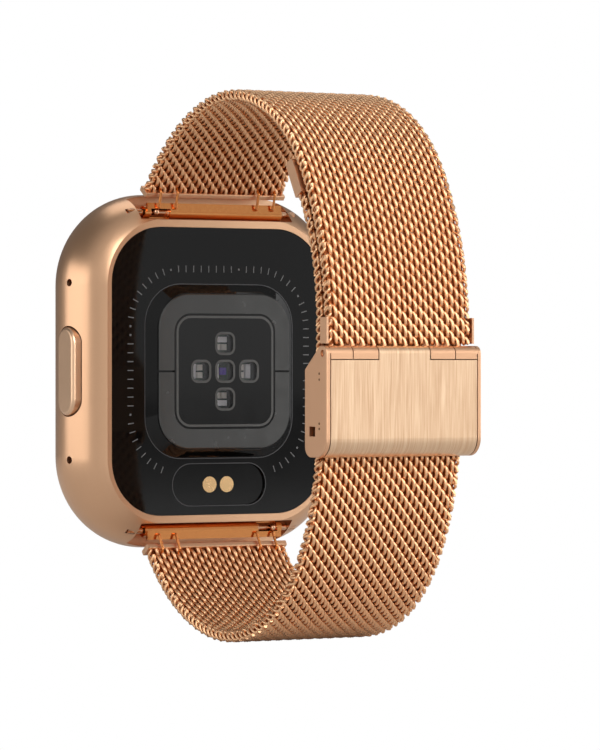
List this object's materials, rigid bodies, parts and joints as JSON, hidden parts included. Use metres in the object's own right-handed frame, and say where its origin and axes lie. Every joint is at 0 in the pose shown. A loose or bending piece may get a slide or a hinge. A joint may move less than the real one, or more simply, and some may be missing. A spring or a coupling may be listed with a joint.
{
  "type": "smartwatch",
  "caption": "Rectangular smartwatch with a sensor back, side button and a woven metal loop band closed by a hinged slide clasp.",
  "frame": {"origin": "centre of the outer face of the sensor window, where the watch rests on the wrist", "axes": "+Y points out of the case back towards the wrist, +Z to the twelve o'clock end, +X to the three o'clock side with the button"},
  "size_m": [0.0387, 0.053, 0.0667],
  "materials": {
    "rose_gold_case": "satin bead-blasted, ion-plated rose gold",
    "rose_gold_button": "polished rose gold",
    "rose_gold_polished": "polished, ion-plated rose gold",
    "rose_gold_satin": "satin, ion-plated rose gold",
    "rose_gold_brushed": "brushed, ion-plated rose gold",
    "rose_gold_mesh": "woven steel wire, ion-plated rose gold",
    "black_gloss": "high gloss black",
    "electrode_grey": "dark grey coated metal",
    "sensor_black": "black window",
    "lens_clear": "clear",
    "black_foam": "matte",
    "seal_rubber": "matte",
    "circuit_board": "solder mask",
    "chip_white": "semi-gloss",
    "chip_green": "semi-gloss",
    "chip_violet": "semi-gloss",
    "gold_contact": "gold plated",
    "shield_steel": "tin plated",
    "battery_foil": "foil",
    "frame_plastic": "moulded",
    "screw_steel": "plain",
    "bar_steel": "polished",
    "port_mesh": "black fine mesh",
    "black_plastic": "moulded",
    "cover_glass": "back-printed cover glass",
    "display_black": "display module"
  },
  "bodies": {
    "case": {"case_frame": "rose_gold_case", "back_gasket": "seal_rubber", "back_cover": "black_gloss", "upper_electrode": "electrode_grey", "lower_electrode": "electrode_grey", "sensor_window": "sensor_black", "sensor_lenses": "lens_clear", "light_barrier": "black_foam", "sensor_board": "circuit_board", "photodiodes": "chip_white", "green_leds": "chip_green", "infrared_led": "chip_violet", "charging_contacts": "gold_contact", "main_board": "circuit_board", "board_shields": "shield_steel", "battery": "battery_foil", "inner_frame": "frame_plastic", "board_screws": "screw_steel", "vibration_motor": "screw_steel", "port_meshes": "port_mesh", "speaker": "black_plastic", "microphone": "shield_steel", "button_switch": "black_plastic", "display_glass": "cover_glass", "display_adhesive": "black_foam", "display_panel": "display_black"},
    "button": {"button_cap": "rose_gold_button", "button_seal": "seal_rubber", "button_clip": "screw_steel"},
    "upper_strap": {"upper_bar_tube": "bar_steel", "upper_bar_tip": "bar_steel", "upper_bar_spring": "screw_steel", "upper_hinge_sleeve": "rose_gold_polished", "upper_link_hooks": "rose_gold_polished", "upper_end_bar": "rose_gold_satin", "upper_mesh": "rose_gold_mesh", "strap_clip": "rose_gold_satin"},
    "lower_strap": {"lower_bar_tube": "bar_steel", "lower_bar_tip": "bar_steel", "lower_bar_spring": "screw_steel", "lower_hinge_sleeve": "rose_gold_polished", "lower_link_hooks": "rose_gold_polished", "lower_end_bar": "rose_gold_satin", "lower_mesh": "rose_gold_mesh", "tail_tip": "rose_gold_satin"},
    "clasp": {"clasp_body": "rose_gold_satin", "clasp_crossbars": "rose_gold_satin", "clasp_pin": "bar_steel"},
    "lid": {"clasp_lid": "rose_gold_brushed"},
    "upper_release": {"upper_release_pin": "bar_steel"},
    "lower_release": {"lower_release_pin": "bar_steel"}
  },
  "joints": [
    {"name": "button_press", "type": "slide", "parent": "case", "child": "button", "axis": [-1, 0, 0], "range_m": [0, 0.0005], "stiffness_N_per_m": 1500},
    {"name": "upper_strap_swing", "type": "hinge", "parent": "case", "child": "upper_strap", "pos_m": [0, -0.00345, 0.01985], "axis": [1, 0, 0], "range_deg": [0, 4]},
    {"name": "lower_strap_swing", "type": "hinge", "parent": "case", "child": "lower_strap", "pos_m": [0, -0.00345, -0.01985], "axis": [1, 0, 0], "range_deg": [-3, 0]},
    {"name": "clasp_pivot", "type": "hinge", "parent": "upper_strap", "child": "clasp", "pos_m": [0, 0.04005, 0.00215], "axis": [1, 0, 0], "range_deg": [-7, 0]},
    {"name": "lid_open", "type": "hinge", "parent": "clasp", "child": "lid", "pos_m": [0, 0.04005, 0.00215], "axis": [1, 0, 0], "range_deg": [0, 105]},
    {"name": "upper_release_slide", "type": "slide", "parent": "upper_strap", "child": "upper_release", "axis": [-1, 0, 0], "range_m": [0, 0.0013], "stiffness_N_per_m": 800},
    {"name": "lower_release_slide", "type": "slide", "parent": "lower_strap", "child": "lower_release", "axis": [1, 0, 0], "range_m": [0, 0.0013], "stiffness_N_per_m": 800}
  ],
  "couplings": [
    {"joint": "lower_strap_swing", "follows": "upper_strap_swing", "ratio": -0.63},
    {"joint": "clasp_pivot", "follows": "upper_strap_swing", "ratio": -1.63}
  ]
}
